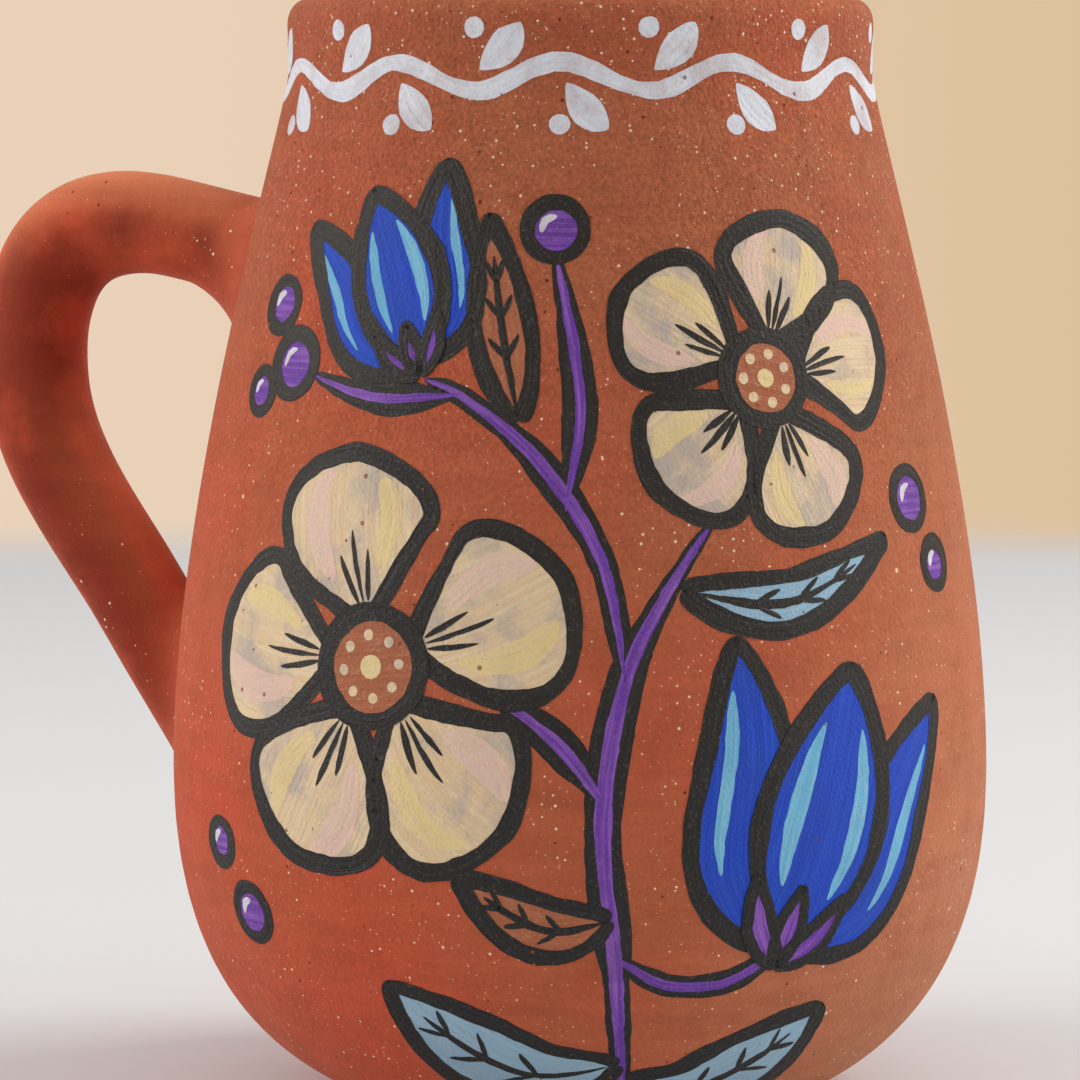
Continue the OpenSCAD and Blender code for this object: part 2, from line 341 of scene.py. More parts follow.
def firedClay(name, look):
    material, tree, shader = newMaterial(name)
    place = addNode(tree, "TexCoord").node.outputs["Object"]
    height = addNode(tree, "SeparateXYZ", {}, {"Vector": place}).node.outputs["Z"]
    blotch = addNode(tree, "TexNoise", {}, {"Vector": place, "Scale": 1 / look["blotchSize"], "Detail": 4,
                                            "Roughness": 0.6})
    colour = shadeLightAndSlip(tree, clayToneAndPaintedLight(tree, place, look), blotch, height, look)
    # Grain: sand of about 0.5 mm. It stands out most at the neck, where fingers squeezed the water out.
    grit = addNode(tree, "MapRange", {}, {"Value": height, "From Min": 50 * mm, "From Max": 95 * mm,
                                          "To Min": 1, "To Max": look["neckGrit"]})
    grain = addNode(tree, "TexNoise", {}, {"Vector": place, "Scale": 1 / (0.45 * mm), "Detail": 3,
                                           "Roughness": 0.7})
    tone = addNode(tree, "MapRange", {}, {"Value": grain, "From Min": 0.3, "From Max": 0.7,
                                          "To Min": -look["grain"], "To Max": look["grain"]})
    tone = addNode(tree, "Math", {"operation": "MULTIPLY_ADD"}, {0: tone, 1: grit, 2: 1})
    colour = addNode(tree, "VectorMath", {"operation": "SCALE"}, {0: colour, "Scale": tone})
    # Lines that the wheel and the sponge leave on the pot, and wiping fingers on the handle
    level = addNode(tree, "VectorMath", {"operation": "MULTIPLY"}, {0: place, 1: (0.12, 0.12, 1)})
    lines = addNode(tree, "TexNoise", {}, {"Vector": level, "Scale": 1 / look["lineGap"], "Detail": 2})
    lined = addNode(tree, "MapRange", {}, {"Value": lines, "From Min": 0.3, "From Max": 0.7,
                                           "To Min": 1 - look["lines"], "To Max": 1 + look["lines"]})
    colour = addNode(tree, "VectorMath", {"operation": "SCALE"}, {0: colour, "Scale": lined})
    colour, pitted, flecked = speckled(tree, place, height, colour, look)
    tree.links.new(colour, shader.inputs["Base Color"])
    rough = addNode(tree, "MapRange", {}, {"Value": flecked, "To Min": look["roughness"], "To Max": 0.35})
    tree.links.new(rough, shader.inputs["Roughness"])
    shader.inputs["Specular IOR Level"].default_value = 0.2
    # Clay dust: each grain catches light from the side, so the limbs go pale
    shader.inputs["Sheen Weight"].default_value = look["dust"]
    shader.inputs["Sheen Roughness"].default_value = 0.45
    shader.inputs["Sheen Tint"].default_value = hexColour(look["dustColour"])
    dented = addNode(tree, "Math", {"operation": "SUBTRACT"}, {0: grain, 1: pitted})
    swell = addNode(tree, "Math", {"operation": "MULTIPLY_ADD"}, {0: blotch, 1: 3, 2: dented})
    swell = addNode(tree, "Math", {"operation": "MULTIPLY_ADD"}, {0: lined, 1: 2, 2: swell})
    swell = addNode(tree, "Math", {"operation": "MULTIPLY"}, {0: swell, 1: grit})
    relief = addNode(tree, "Bump", {}, {"Height": swell, "Strength": 1, "Distance": look["relief"]})
    tree.links.new(relief, shader.inputs["Normal"])
    return material


clayLook = {
    "red": "#c65036",
    "tan": "#b26242",
    "dark": "#9a4228",
    # painted light: the clay is painted tan towards the upper right, where the lamps fall
    "paintedLightSide": outwards(60) * 0.8 + upward * 0.45,
    # painted highlight: the side towards the right lamps is painted pale
    "rightLampSide": outwards(78) - upward * 0.35,
    "paintedPaleAmount": 0.5,
    "pale": "#c08a66",
    "blotches": 0.35,
    "blotchSize": 6 * mm,
    "paintedSideShade": 0,
    "grain": 0.11,
    "lines": 0.06,
    "lineGap": 1.5 * mm,
    "pits": 0.4,                  # this and the next three: how many of the cells hold one
    "sandAndHighlights": 0.95,
    "mica": 0.5,
    "grog": 0.5,
    # the pits' dark colour is painted shade
    "pit": "#7c3420",
    "fleck": "#f4d6b6",
    "slip": "#bd5439",
    "dust": 0.18,
    "dustColour": "#f4ccaa",
    # painted top light, on whatever faces up
    "paintedTopLight": "#dd8d62",
    "topLightShare": 0.25,
    "topLightStart": -0.2,             # 0 is where the skin stands upright, 1 where it lies flat
    "roughness": 0.88,
    "relief": 0.17 * mm,
    "neckGrit": 2.6,              # how much coarser the skin is at the neck than at the belly
    "neckSand": 0.22,             # and how many more grains show there
}

# The pot: thrown on the wheel, so one profile is turned into the whole skin
pot = {
    "around": 128,
    "ringStep": 3 * mm,           # longer flat runs of the profile are cut up
    "cornerAngle": 35,            # degrees past which a turned edge is a corner
    "edgeSoftness": 0.5 * mm,     # corners, worn round by a sponge
    "skinInset": 0.14 * mm,       # leaves room for the paint
    "footFade": 3 * mm,
    "lipFade": 4 * mm,
    "lumpSize": 17 * mm,
    "lumpDepth": 0.12 * mm,
}


def turnedFrom(nodeName):
    # the cut of the CAD piece with one half plane is its profile, and a full spin makes clean quads of it
    bm = mergedCopy(nodeName)
    cut = bmesh.ops.bisect_plane(bm, geom=bm.verts[:] + bm.edges[:] + bm.faces[:], dist=tiny,
                                 plane_co=(0, 0, 0), plane_no=(0, 1, 0))["geom_cut"]
    profile = {item for item in cut if isinstance(item, bmesh.types.BMVert)}
    bmesh.ops.delete(bm, geom=[vert for vert in bm.verts if vert not in profile], context="VERTS")
    bmesh.ops.bisect_plane(bm, geom=bm.verts[:] + bm.edges[:], dist=tiny, plane_co=(0, 0, 0),
                           plane_no=(1, 0, 0), clear_inner=True)
    for edge in bm.edges[:]:
        cuts = math.floor(edge.calc_length() / pot["ringStep"])
        if cuts:
            bmesh.ops.subdivide_edges(bm, edges=[edge], cuts=cuts)
    bmesh.ops.spin(bm, geom=bm.verts[:] + bm.edges[:], cent=(0, 0, 0), axis=upward, dvec=(0, 0, 0),
                   angle=2 * math.pi, steps=pot["around"], use_merge=True, use_duplicate=False)
    bmesh.ops.remove_doubles(bm, verts=bm.verts, dist=10 * tiny)
    bmesh.ops.recalc_face_normals(bm, faces=bm.faces)
    return bm


def smoothTurned(nodeName):
    bm = turnedFrom(nodeName)
    corners = [edge for edge in bm.edges if edge.calc_face_angle(0) > math.radians(pot["cornerAngle"])]
    if corners:
        bmesh.ops.bevel(bm, geom=corners, offset=pot["edgeSoftness"], segments=3, profile=0.5,
                        affect="EDGES", material=-1)
    piece = addObject(nodeName + "Turned", bm)
    rounder = piece.modifiers.new("rounder", "SUBSURF")
    rounder.levels = 1
    rounder.render_levels = 1
    return appliedModifiers(piece)


def settleSkin(bm):
    # the outer skin steps back by a paint's thickness and gets the slight lumps that hands leave
    bm.normal_update()
    top = cadHigh.z
    moves = []
    for vert in bm.verts:
        level = Vector((vert.co.x, vert.co.y, 0))
        outer = level.length > tiny and vert.normal.dot(level.normalized()) > 0.1
        fade = eased(vert.co.z, 0, pot["footFade"]) * (1 - eased(vert.co.z, top - pot["lipFade"], top))
        lump = (noise.noise(vert.co / pot["lumpSize"]) + 1) / 2 * pot["lumpDepth"]
        depth = (pot["skinInset"] * outer + lump) * fade
        moves.append(vert.normal * -depth if outer else vert.normal * -lump * fade)
    for vert, move in zip(bm.verts, moves):
        vert.co += move


potMesh = smoothTurned("body")
settleSkin(potMesh)
clayTree = BVHTree.FromBMesh(potMesh)
barePot = addObject("thrownPot", potMesh, firedClay("fired redware, bare", clayLook))
finishPiece(barePot, ["body"])
print("pot turned:", len(barePot.data.polygons), "faces")


# Clear lead-free glaze over the red clay inside, poured in and drained: it wets the clay dark and shines.
glazeLook = {
    "thick": "#8c4028",
    "thin": "#a85a3a",
    "poolSize": 22 * mm,
    "roughness": 0.12,
    "ior": 1.52,
    "peelSize": 2.5 * mm,         # orange peel, as a poured glaze has
    "peelDepth": 0.05 * mm,
}


def clearGlaze(look):
    material, tree, shader = newMaterial("clear glaze over redware, poured")
    place = addNode(tree, "TexCoord").node.outputs["Object"]
    pool = addNode(tree, "TexNoise", {}, {"Vector": place, "Scale": 1 / look["poolSize"], "Detail": 3})
    colour = addNode(tree, "MixRGB", {}, {"Fac": pool, "Color1": hexColour(look["thick"]),
                                          "Color2": hexColour(look["thin"])})
    tree.links.new(colour, shader.inputs["Base Color"])
    shader.inputs["Roughness"].default_value = look["roughness"]
    shader.inputs["IOR"].default_value = look["ior"]
    peel = addNode(tree, "TexNoise", {}, {"Vector": place, "Scale": 1 / look["peelSize"], "Detail": 1})
    relief = addNode(tree, "Bump", {}, {"Height": peel, "Strength": 0.4, "Distance": look["peelDepth"]})
    tree.links.new(relief, shader.inputs["Normal"])
    return material


glaze = addObject("glazedInside", smoothTurned("liner_glaze"), clearGlaze(glazeLook))
finishPiece(glaze, ["liner_glaze"])
print("inside glazed")

# The handle: a roll of clay pressed on by hand. The wet clay worked in round its roots leaves no seam,
# so the roll and both collars become one skin.
handle = {
    "nodes": ["handle", "upper_luting_clay", "lower_luting_clay"],
    "grid": 0.45 * mm,            # edge of the cells that the three solids are fused in
    "smoothing": 8,
    "pressSize": 12 * mm,         # finger marks
    "pressDepth": 0.22 * mm,
    "sinkReach": 1.5 * mm,        # how far from the pot the feather edge starts
    "sinkDepth": 0.5 * mm,
    "smearReach": 8 * mm,         # how far up the roots the smeared slip reaches
    "smearCover": 0.9,
    "bunchPlace": Vector((-57.4, 0, 87.8)) * mm,      # where the clay bunches inside the bend
    "bunchReach": 8 * mm,
    "bunchDepth": 0.9 * mm,
}


def outerSkin(bm):
    # fusing shuts in specks of air between the solids, so only what hangs together with the outside stays
    found = {min(bm.verts, key=lambda vert: vert.co.x)}
    fresh = set(found)
    while fresh:
        fresh = {edge.other_vert(vert) for vert in fresh for edge in vert.link_edges} - found
        found |= fresh
    bmesh.ops.delete(bm, geom=[vert for vert in bm.verts if vert not in found], context="VERTS")


def fusedHandle():
    bm = bmesh.new()
    for nodeName in handle["nodes"]:
        bm.from_mesh(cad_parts[nodeName].data)
    piece = addObject("handleSolids", bm)
    fuse = piece.modifiers.new("fuse", "REMESH")
    fuse.mode = "VOXEL"
    fuse.voxel_size = handle["grid"]
    bm = appliedModifiers(piece)
    outerSkin(bm)
    for turn in range(handle["smoothing"]):
        bmesh.ops.smooth_vert(bm, verts=bm.verts, factor=0.5, use_axis_x=True, use_axis_y=True,
                              use_axis_z=True)
    bm.normal_update()
    smear = bm.verts.layers.float.new("smear")
    moves = []
    for vert in bm.verts:
        press = (noise.noise(vert.co / handle["pressSize"]) + 1) / 2 * handle["pressDepth"]
        near, normal, index, distance = clayTree.find_nearest(vert.co)
        vert[smear] = handle["smearCover"] * (1 - eased(distance, 0, handle["smearReach"]))
        sink = 1 - eased((vert.co - near).dot(normal), 0, handle["sinkReach"])
        inwards = max(vert.normal.dot(Vector((1, 0, -1)).normalized()), 0)
        bunch = 1 - eased((vert.co - handle["bunchPlace"]).length, 0, handle["bunchReach"])
        swell = handle["bunchDepth"] * bunch * inwards
        moves.append(vert.normal * (swell - press) - normal * handle["sinkDepth"] * sink)
    for vert, move in zip(bm.verts, moves):
        vert.co += move
    return bm


# on the handle, painted shade darkens the sides and painted top light lightens the top
rolledLook = dict(clayLook, red="#bc442a", tan="#c65c3c", dark="#601d10", blotches=0.62,
                  blotchSize=9 * mm, paintedSideShade=0.26, grain=0.06, lines=0.09, lineGap=2.5 * mm,
                  pits=0.05, sandAndHighlights=0.3, mica=0.02, grog=0.02, paintedTopLight="#e7865c", topLightShare=0.85, topLightStart=-0.1,
                  relief=0.08 * mm, neckGrit=1, neckSand=0)
rolledClay = firedClay("fired redware, rolled and wiped", rolledLook)
rolled = addObject("rolledHandle", fusedHandle(), rolledClay, 60)
finishPiece(rolled, handle["nodes"])
print("handle fused:", len(rolled.data.polygons), "faces")


def baredPaint(tree, place, look):
    # pinholes of up to 0.5 mm, and scratches of about 2 mm that lean with the hand
    cluster = addNode(tree, "TexNoise", {}, {"Vector": place, "Scale": 1 / (16 * mm), "Detail": 1})
    holes = specks(tree, place, "pinhole", look["pinholes"], cluster)
    slanted = addNode(tree, "Mapping", {}, {"Vector": place, "Rotation": (0.5, 0.35, 0),
                                            "Scale": (1, 1, 0.13)})
    scratches = specks(tree, slanted, "scratch", look["scratches"], cluster)
    bared = addNode(tree, "Math", {"operation": "MAXIMUM"}, {0: holes, 1: scratches})
    return addNode(tree, "Math", {"operation": "MULTIPLY"}, {0: bared, 1: look["bared"]})


# Acrylic paint, brushed on the bare clay: nearly matt, with streaks along the brush's way, smudges where the
# coats differ, and pinholes where the clay's grain shows through.
def brushedAcrylic(name, look):
    material, tree, shader = newMaterial("acrylic paint, brushed, " + name)
    place = addNode(tree, "TexCoord").node.outputs["Object"]
    way = addNode(tree, "Attribute", {"attribute_name": "brushWay"}).node.outputs["Vector"]
    stretch = Vector((1 / (14 * mm), 1 / look["hair"], 1))
    along = addNode(tree, "VectorMath", {"operation": "MULTIPLY"}, {0: way, 1: stretch})
    hairs = addNode(tree, "TexNoise", {}, {"Vector": along, "Scale": 1, "Detail": 3, "Roughness": 0.6})
    streak = addNode(tree, "MapRange", {}, {"Value": hairs, "From Min": 0.42, "From Max": 0.64,
                                            "To Max": look["streaks"]})
    colour = addNode(tree, "MixRGB", {}, {"Fac": streak, "Color1": hexColour(look["colour"]),
                                          "Color2": hexColour(look["streak"])})
    cloud = addNode(tree, "TexNoise", {}, {"Vector": place, "Scale": 1 / (6 * mm), "Detail": 4,
                                           "Roughness": 0.7})
    smudge = addNode(tree, "MapRange", {"interpolation_type": "SMOOTHSTEP"},
                     {"Value": cloud, "From Min": 0.42, "From Max": 0.68, "To Max": look["smudges"]})
    colour = addNode(tree, "MixRGB", {}, {"Fac": smudge, "Color1": colour,
                                          "Color2": hexColour(look["smudge"])})
    holed = baredPaint(tree, place, look)
    colour = addNode(tree, "MixRGB", {}, {"Fac": holed, "Color1": colour, "Color2": hexColour(look["clay"])})
    # The clay's own sand, about 0.3 mm, stands out of the paint, and is rubbed paler there
    grain = addNode(tree, "TexNoise", {}, {"Vector": place, "Scale": 1 / (0.35 * mm), "Detail": 2,
                                           "Roughness": 0.6})
    stands = addNode(tree, "MapRange", {}, {"Value": grain, "From Min": 0.56, "From Max": 0.72,
                                            "To Max": look["rubbed"]})
    colour = addNode(tree, "MixRGB", {}, {"Fac": stands, "Color1": colour, "Color2": hexColour(look["rub"])})
    tree.links.new(colour, shader.inputs["Base Color"])
    shader.inputs["Roughness"].default_value = look["roughness"]
    shader.inputs["Specular IOR Level"].default_value = 0.3
    sanded = addNode(tree, "Math", {"operation": "MULTIPLY_ADD"}, {0: hairs, 1: 1.3, 2: grain})
    dented = addNode(tree, "Math", {"operation": "SUBTRACT"}, {0: sanded, 1: holed})
    relief = addNode(tree, "Bump", {}, {"Height": dented, "Strength": 1, "Distance": look["relief"]})
    tree.links.new(relief, shader.inputs["Normal"])
    return material


plainPaint = {
    "hair": 0.5 * mm,             # width of the streaks that the brush's hairs leave
    "streaks": 0.6,
    "smudges": 0.3,
    "pinholes": 0.17,             # how many of the cells hold one
    "scratches": 0.22,
    "clay": "#8e4a34",            # shows in pinholes and scratches
    "bared": 0.8,
    "rubbed": 0.3,                # how far the grains that stand out are rubbed
    "rub": "#d8b48c",
    "roughness": 0.6,
    "relief": 0.15 * mm,
}
paintLooks = {
    "creamPetals": dict(plainPaint, colour="#e3c49b", streak="#f0dcb8", smudge="#b3a7a2", smudges=0.8),
    "pinkStreaks": dict(plainPaint, colour="#e9c4b4", streak="#e6cda6", smudge="#c9aca6"),
    "yellowStreaks": dict(plainPaint, colour="#ecd193", streak="#e6cda6", smudge="#c9b48c"),
    "ultramarinePetals": dict(plainPaint, colour="#1540b8", streak="#2455cf", smudge="#2048a4", pinholes=0.1,
                              smudges=0.4, rubbed=0.2, rub="#4068cc"),
    "lightBlueBands": dict(plainPaint, colour="#6cb4d8", streak="#8cc8e2", smudge="#5a9cc4"),
    "paleBlueLeaves": dict(plainPaint, colour="#8fb4ca", streak="#a2c4d6", smudge="#8a9db8"),
    "violetBuds": dict(plainPaint, colour="#6a37a4", streak="#9a64be", smudge="#56307c", streaks=0.9,
                       smudges=0.5, rub="#a878b8"),
    "brownCentres": dict(plainPaint, colour="#a8603f", streak="#bb7452", smudge="#8e4a30"),
    "whiteDabs": dict(plainPaint, colour="#dadde6", streak="#eeeef2", smudge="#b8a09c", smudges=0.5,
                      pinholes=0.25, rubbed=0.4, rub="#c9a08c"),
    "blackOutlines": dict(plainPaint, colour="#1a1a1b", streak="#383735", smudge="#171717", streaks=0.3,
                          pinholes=0.1, rubbed=0.4, rub="#615c56", roughness=0.5),
}
paints = {name: bmesh.new() for name in paintLooks}

brush = {
    "step": 0.6 * mm,             # length of the facets along a stroke
    "coat": 0.03 * mm,            # each coat stands this much higher
    "bury": 0.1 * mm,             # how deep a stroke's underside lies in the clay
    "reach": 3 * mm,              # how far off the clay its surface is looked for
    "lineWidth": 1.9 * mm,
    "unevenness": 0.2,            # of the line's width
    "unevenLength": 7 * mm,
    "ragged": 0.15 * mm,          # how far the hairs stray over the edge
    "raggedLength": 1.3 * mm,
    "hand": random.Random(11),    # a new place in the noise for each stroke
}


def measuredWall():
    # the pot's outer wall from foot to lip: way along it, radius and height
    rows = []
    height = 1 * mm
    along = 0
    while height < cadHigh.z - 1 * mm:
        start = Vector((cadHigh.x * 2, 0, height))
        radius = clayTree.ray_cast(start, Vector((-1, 0, 0)))[0].x
        if rows:
            along += math.hypot(radius - rows[-1][1], height - rows[-1][2])
        rows.append((along, radius, height))
        height += 0.5 * mm
    return rows


wallRows = measuredWall()


def wallAt(value, column=0):
    # the row of the wall where that column has that value, with the wall's lean
    index = min(max(bisect_left(wallRows, value, key=lambda row: row[column]), 1), len(wallRows) - 1)
    low, high = wallRows[index - 1], wallRows[index]
    share = (value - low[column]) / (high[column] - low[column])
    along, radius, height = [a + (b - a) * share for a, b in zip(low, high)]
    return along, radius, height, math.atan2(low[1] - high[1], high[2] - low[2])


def onClay(place, point, lift):
    # a flat point of a motif, right and up from the motif's middle, laid on the clay
    turned = Matrix.Rotation(math.radians(place.get("turn", 0)), 2) @ point
    along = wallAt(place["height"], 2)[0] + turned.y
    along, radius, height, lean = wallAt(along)
    out = outwards(place["angle"] + math.degrees(turned.x / radius))
    normal = out * math.cos(lean) + upward * math.sin(lean)
    start = out * radius + upward * height + normal * brush["reach"]
    return clayTree.ray_cast(start, -normal)[0] + normal * lift


def flatSpot(place, angle, height):
    # where a place on the pot lies in a motif that isn't turned
    along, radius = wallAt(height, 2)[:2]
    return Vector((math.radians(angle - place["angle"]) * radius, along - wallAt(place["height"], 2)[0]))


def curveThrough(knots, pieces=16):
    # a smooth line through a few knots
    line = []
    tension = 1 / 6
    for i in range(len(knots) - 1):
        before = knots[max(i - 1, 0)]
        after = knots[min(i + 2, len(knots) - 1)]
        leaving = knots[i] + (knots[i + 1] - before) * tension
        coming = knots[i + 1] - (after - knots[i]) * tension
        line += interpolate_bezier(knots[i], leaving, coming, knots[i + 1], pieces)[:-1]
    return line + [knots[-1]]


def evenPath(points):
    # the same line in even steps, as pairs of a point and the direction to its left
    lengths = [0]
    for first, second in zip(points, points[1:]):
        lengths.append(lengths[-1] + (second - first).length)
    count = max(6, math.ceil(lengths[-1] / brush["step"]))
    spots = []
    for i in range(count + 1):
        wanted = lengths[-1] * i / count
        k = min(max(bisect_left(lengths, wanted), 1), len(points) - 1)
        share = (wanted - lengths[k - 1]) / max(lengths[k] - lengths[k - 1], tiny)
        spots.append(points[k - 1].lerp(points[k], share))
    closed = (spots[0] - spots[-1]).length < 10 * tiny
    path = []
    for i, spot in enumerate(spots):
        behind = spots[-2] if closed and i == 0 else spots[max(i - 1, 0)]
        ahead = spots[1] if closed and i == count else spots[min(i + 1, count)]
        tangent = (ahead - behind).normalized()
        path.append((spot, Vector((-tangent.y, tangent.x))))
    return path, lengths[-1]


def spotAt(path, share):
    index = min(int(share * (len(path) - 1)), len(path) - 2)
    part = share * (len(path) - 1) - index
    return path[index][0].lerp(path[index + 1][0], part), path[index][1].lerp(path[index + 1][1], part)


def brushStroke(paint, place, points, halfWidth, coat, closed=False, uneven=0):
    # one stroke: a thin slab of paint, bent along its path and laid on the clay
    path, length = evenPath(points)
    steps = len(path) - 1
    widest = max(halfWidth(i / steps) for i in range(steps + 1))
    across = max(3, round(2 * widest / (1.4 * brush["step"])))
    slab = bmesh.new()
    way = slab.verts.layers.float_vector.new("brushWay")
    bmesh.ops.create_grid(slab, x_segments=steps, y_segments=across, size=0.5)
    lifted = bmesh.ops.extrude_face_region(slab, geom=slab.faces[:], use_keep_orig=True)["geom"]
    lifted = [item for item in lifted if isinstance(item, bmesh.types.BMVert)]
    bmesh.ops.translate(slab, verts=lifted, vec=upward)
    if closed:
        ends = [face for face in slab.faces if all(abs(vert.co.x) > 0.5 - tiny for vert in face.verts)]
        bmesh.ops.delete(slab, geom=ends, context="FACES")
    seed = brush["hand"].uniform(0, 100)
    for vert in slab.verts:
        share = vert.co.x + 0.5
        if not closed:
            share = (1 - math.cos(math.pi * share)) / 2
        side = 2 * vert.co.y
        spot, left = spotAt(path, share)
        wave = noise.noise(Vector((*spot, 0)) / brush["unevenLength"] + upward * seed)
        stray = noise.noise(Vector((*spot, 0)) / brush["raggedLength"] + upward * (seed + side))
        half = halfWidth(share)
        width = side * (half * (1 + uneven * 2 * wave) + stray * min(brush["ragged"], half * 0.4))
        vert[way] = (share * length, width, seed)
        lift = coat * brush["coat"] if vert.co.z > 0.5 else -brush["bury"]
        vert.co = onClay(place, spot + left * width, lift)
    bmesh.ops.remove_doubles(slab, verts=slab.verts, dist=0.1 * tiny)
    bmesh.ops.recalc_face_normals(slab, faces=slab.faces)
    mesh = bpy.data.meshes.new("stroke")
    slab.to_mesh(mesh)
    slab.free()
    paints[paint].from_mesh(mesh)
    bpy.data.meshes.remove(mesh)


def lineWidth(width, length, ends):
    # half the width of a line with pointed, round or joined ends
    def half(share):
        if ends == "pointed":
            return width / 2 * max(math.sin(math.pi * share), 0) ** 0.5
        inset = max(min(share, 1 - share) * length / (width / 2), 0)
        if ends == "round" and inset < 1:
            return width / 2 * math.sqrt(1 - (1 - inset) ** 2)
        return width / 2
    return half


def petalWidth(halfWidth, skew, fullness):
    # widest past the middle where skew is over 1, and rounder the less the fullness
    return lambda share: halfWidth * max(math.sin(math.pi * share ** skew), 0) ** fullness


def discWidth(radius):
    return lambda share: 2 * radius * math.sqrt(max(share * (1 - share), 0))


def spotBeside(path, halfWidth, side, share):
    # side is 0 on the spine, 1 on the left rim and -1 on the right one
    spot, left = spotAt(path, share)
    return spot + left * side * halfWidth(share)


def rimSide(points, halfWidth, side):
    # one side of a petal's rim, from its root to its tip
    path = evenPath(points)[0]
    count = 40
    rim = []
    for i in range(count + 1):
        share = (1 - math.cos(math.pi * i / count)) / 2
        rim.append(spotBeside(path, halfWidth, side, share))
    return rim


def drawLine(place, points, width, coat, ends="pointed", paint="blackOutlines"):
    shape = lineWidth(width, evenPath(points)[1], ends)
    brushStroke(paint, place, points, shape, coat, ends == "joined", brush["unevenness"])


def paintPetal(paint, place, points, halfWidth, coat, width=None, ends="round"):
    # the outline goes all round a blunt shape, and up each side of a pointed one
    brushStroke(paint, place, points, halfWidth, coat)
    width = width or brush["lineWidth"]
    sides = [rimSide(points, halfWidth, side) for side in (1, -1)]
    if ends == "joined":
        rim = sides[0] + sides[1][::-1]
        rim = [spot for spot, following in zip(rim, rim[1:]) if (spot - following).length > tiny]
        drawLine(place, rim + [rim[0]], width, coat + 1, "joined")
    else:
        onward = (points[-1] - points[-2]).normalized() * width * 0.4
        for rim in sides:
            drawLine(place, rim + [points[-1] + onward], width, coat + 1, "round")


def besideSpine(points, halfWidth, side, start, end):
    # part of a line that runs between a petal's spine and its rim
    path = evenPath(points)[0]
    count = 12
    shares = [start + (end - start) * i / count for i in range(count + 1)]
    return [spotBeside(path, halfWidth, side, share) for share in shares]


def spun(points, degrees):
    return [Matrix.Rotation(math.radians(degrees), 2) @ point for point in points]


def paintDisc(paint, place, middle, radius, coat, width=None):
    line = [middle + Vector((-radius, 0)), middle + Vector((radius, 0))]
    if width:
        paintPetal(paint, place, line, discWidth(radius), coat, width, "joined")
    else:
        brushStroke(paint, place, line, discWidth(radius), coat)


def flat(*pairs):
    return [Vector(pair) * mm for pair in pairs]


def paintOpenFlower(place, look):
    # round cream petals with a pink and a yellow streak, and a dotted brown middle
    turn = 360 / look["petals"]
    start, end = look["middle"] * 0.8, look["length"]
    for i in range(look["petals"]):
        lean = brush["hand"].uniform(-0.08, 0.08) * end
        spine = spun(curveThrough(flat((0, start), (lean, (start + end) / 2), (lean * 0.4, end))), i * turn)
        shape = petalWidth(look["halfWidth"] * mm, 1.5, 0.62)
        paintPetal("creamPetals", place, spine, shape, 1.1, ends="joined")
        pink = besideSpine(spine, shape, 0.5, 0.3, 0.9)
        drawLine(place, pink, look["halfWidth"] * 0.38 * mm, 1.5, paint="pinkStreaks")
        yellow = besideSpine(spine, shape, -0.5, 0.28, 0.86)
        drawLine(place, yellow, look["halfWidth"] * 0.3 * mm, 1.5, paint="yellowStreaks")
        for side in (-0.22, 0, 0.22):
            vein = besideSpine(spine, shape, side, 0.12, 0.42 if side else 0.55)
            drawLine(place, vein, 0.65 * mm, 2)
    paintDisc("brownCentres", place, Vector((0, 0)), look["middle"] * mm, 3, brush["lineWidth"])
    for i in range(look["dots"]):
        dot = spun(flat((0, look["middle"] * 0.58)), 360 * i / look["dots"])[0]
        paintDisc("creamPetals", place, dot, 0.55 * mm, 4)
    paintDisc("yellowStreaks", place, Vector((0, 0)), look["middle"] * 0.22 * mm, 4)


def paintTulip(place, look):
    # two ultramarine petals lean out behind a third, each with a light blue band
    size = look["size"]
    for side in (-1, 1):
        knots = flat((0, 0), (side * size * 0.27, size * 0.2), (side * size * 0.36, size * 0.62),
                     (side * size * 0.5, size))
        spine = curveThrough(knots)
        shape = petalWidth(size * 0.19 * mm, 0.85, 0.7)
        paintPetal("ultramarinePetals", place, spine, shape, 1)
        band = besideSpine(spine, shape, -0.42 * side, 0.3, 0.86)
        drawLine(place, band, size * 0.055 * mm, 1.5, paint="lightBlueBands")
    spine = curveThrough(flat((0, -size * 0.02), (size * 0.02, size * 0.5), (0, size * 1.02)))
    shape = petalWidth(size * 0.27 * mm, 0.88, 0.75)
    paintPetal("ultramarinePetals", place, spine, shape, 3)
    for side in (-0.55, 0.5):
        band = besideSpine(spine, shape, side, 0.2, 0.8)
        drawLine(place, band, size * 0.07 * mm, 3.5, paint="lightBlueBands")
    for side in (-1, 0, 1):
        sepal = curveThrough(flat((0, -size * 0.1), (side * size * 0.12, size * 0.02),
                                  (side * size * 0.2, size * 0.2)))
        paintPetal("violetBuds", place, sepal, petalWidth(size * 0.05 * mm, 0.8, 0.8), 5, 1.1 * mm)


def paintLeaf(place, knots, halfWidth, paint):
    spine = curveThrough(knots)
    shape = petalWidth(halfWidth, 0.85, 0.8)
    paintPetal(paint, place, spine, shape, 1)
    drawLine(place, besideSpine(spine, shape, 0, 0.04, 0.82), 0.9 * mm, 2)
    path = evenPath(spine)[0]
    for share in (0.3, 0.5, 0.68):
        for side in (-1, 1):
            root = spotBeside(path, shape, 0, share)
            tip = spotBeside(path, shape, side * 0.55, share + 0.12)
            drawLine(place, [root, tip], 0.6 * mm, 2)


